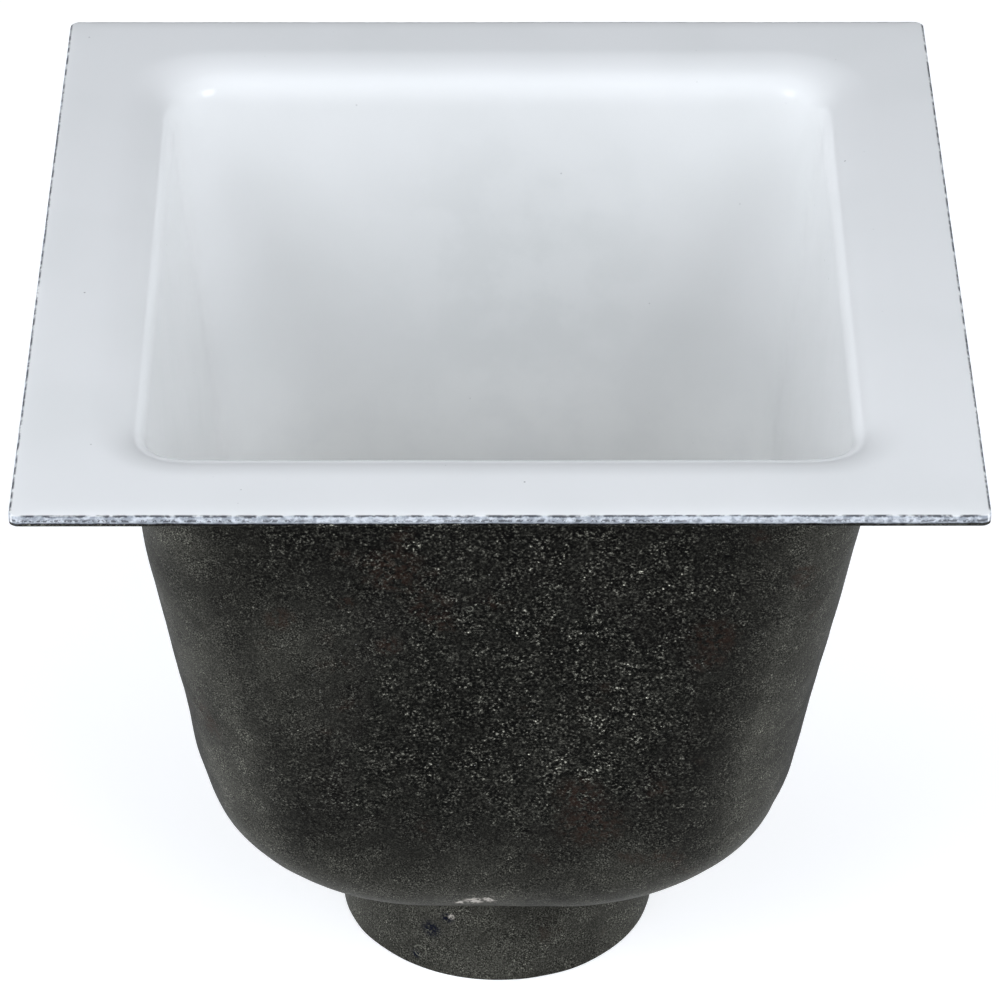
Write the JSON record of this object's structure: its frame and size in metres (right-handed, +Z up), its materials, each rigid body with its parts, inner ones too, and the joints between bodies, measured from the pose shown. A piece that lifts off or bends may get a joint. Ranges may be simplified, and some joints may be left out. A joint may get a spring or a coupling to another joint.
{
  "type": "floor sink",
  "caption": "Square enamelled cast-iron floor sink with a deep drafted basin, a plain bottom outlet spigot and a lift-out dome strainer.",
  "frame": {"origin": "centre of the outlet's open end, which is the lowest point of the sink", "axes": "+Z up along the outlet's axis, +X and +Y square to the sides of the flange"},
  "size_m": [0.3048, 0.3048, 0.2721],
  "materials": {
    "coated_iron": "rough sand-cast grey iron under a thin black coat, satin",
    "white_enamel": "opaque glossy white vitreous enamel fused to the iron",
    "strainer_aluminium": "cast aluminium, satin"
  },
  "bodies": {
    "sink": {"sink_casting": "coated_iron", "enamel_lining": "white_enamel"},
    "strainer": {"dome_strainer": "strainer_aluminium"}
  },
  "joints": [
    {"name": "strainer_lift", "type": "slide", "parent": "sink", "child": "strainer", "axis": [0, 0, 1], "range_m": [0, 0.25]}
  ]
}
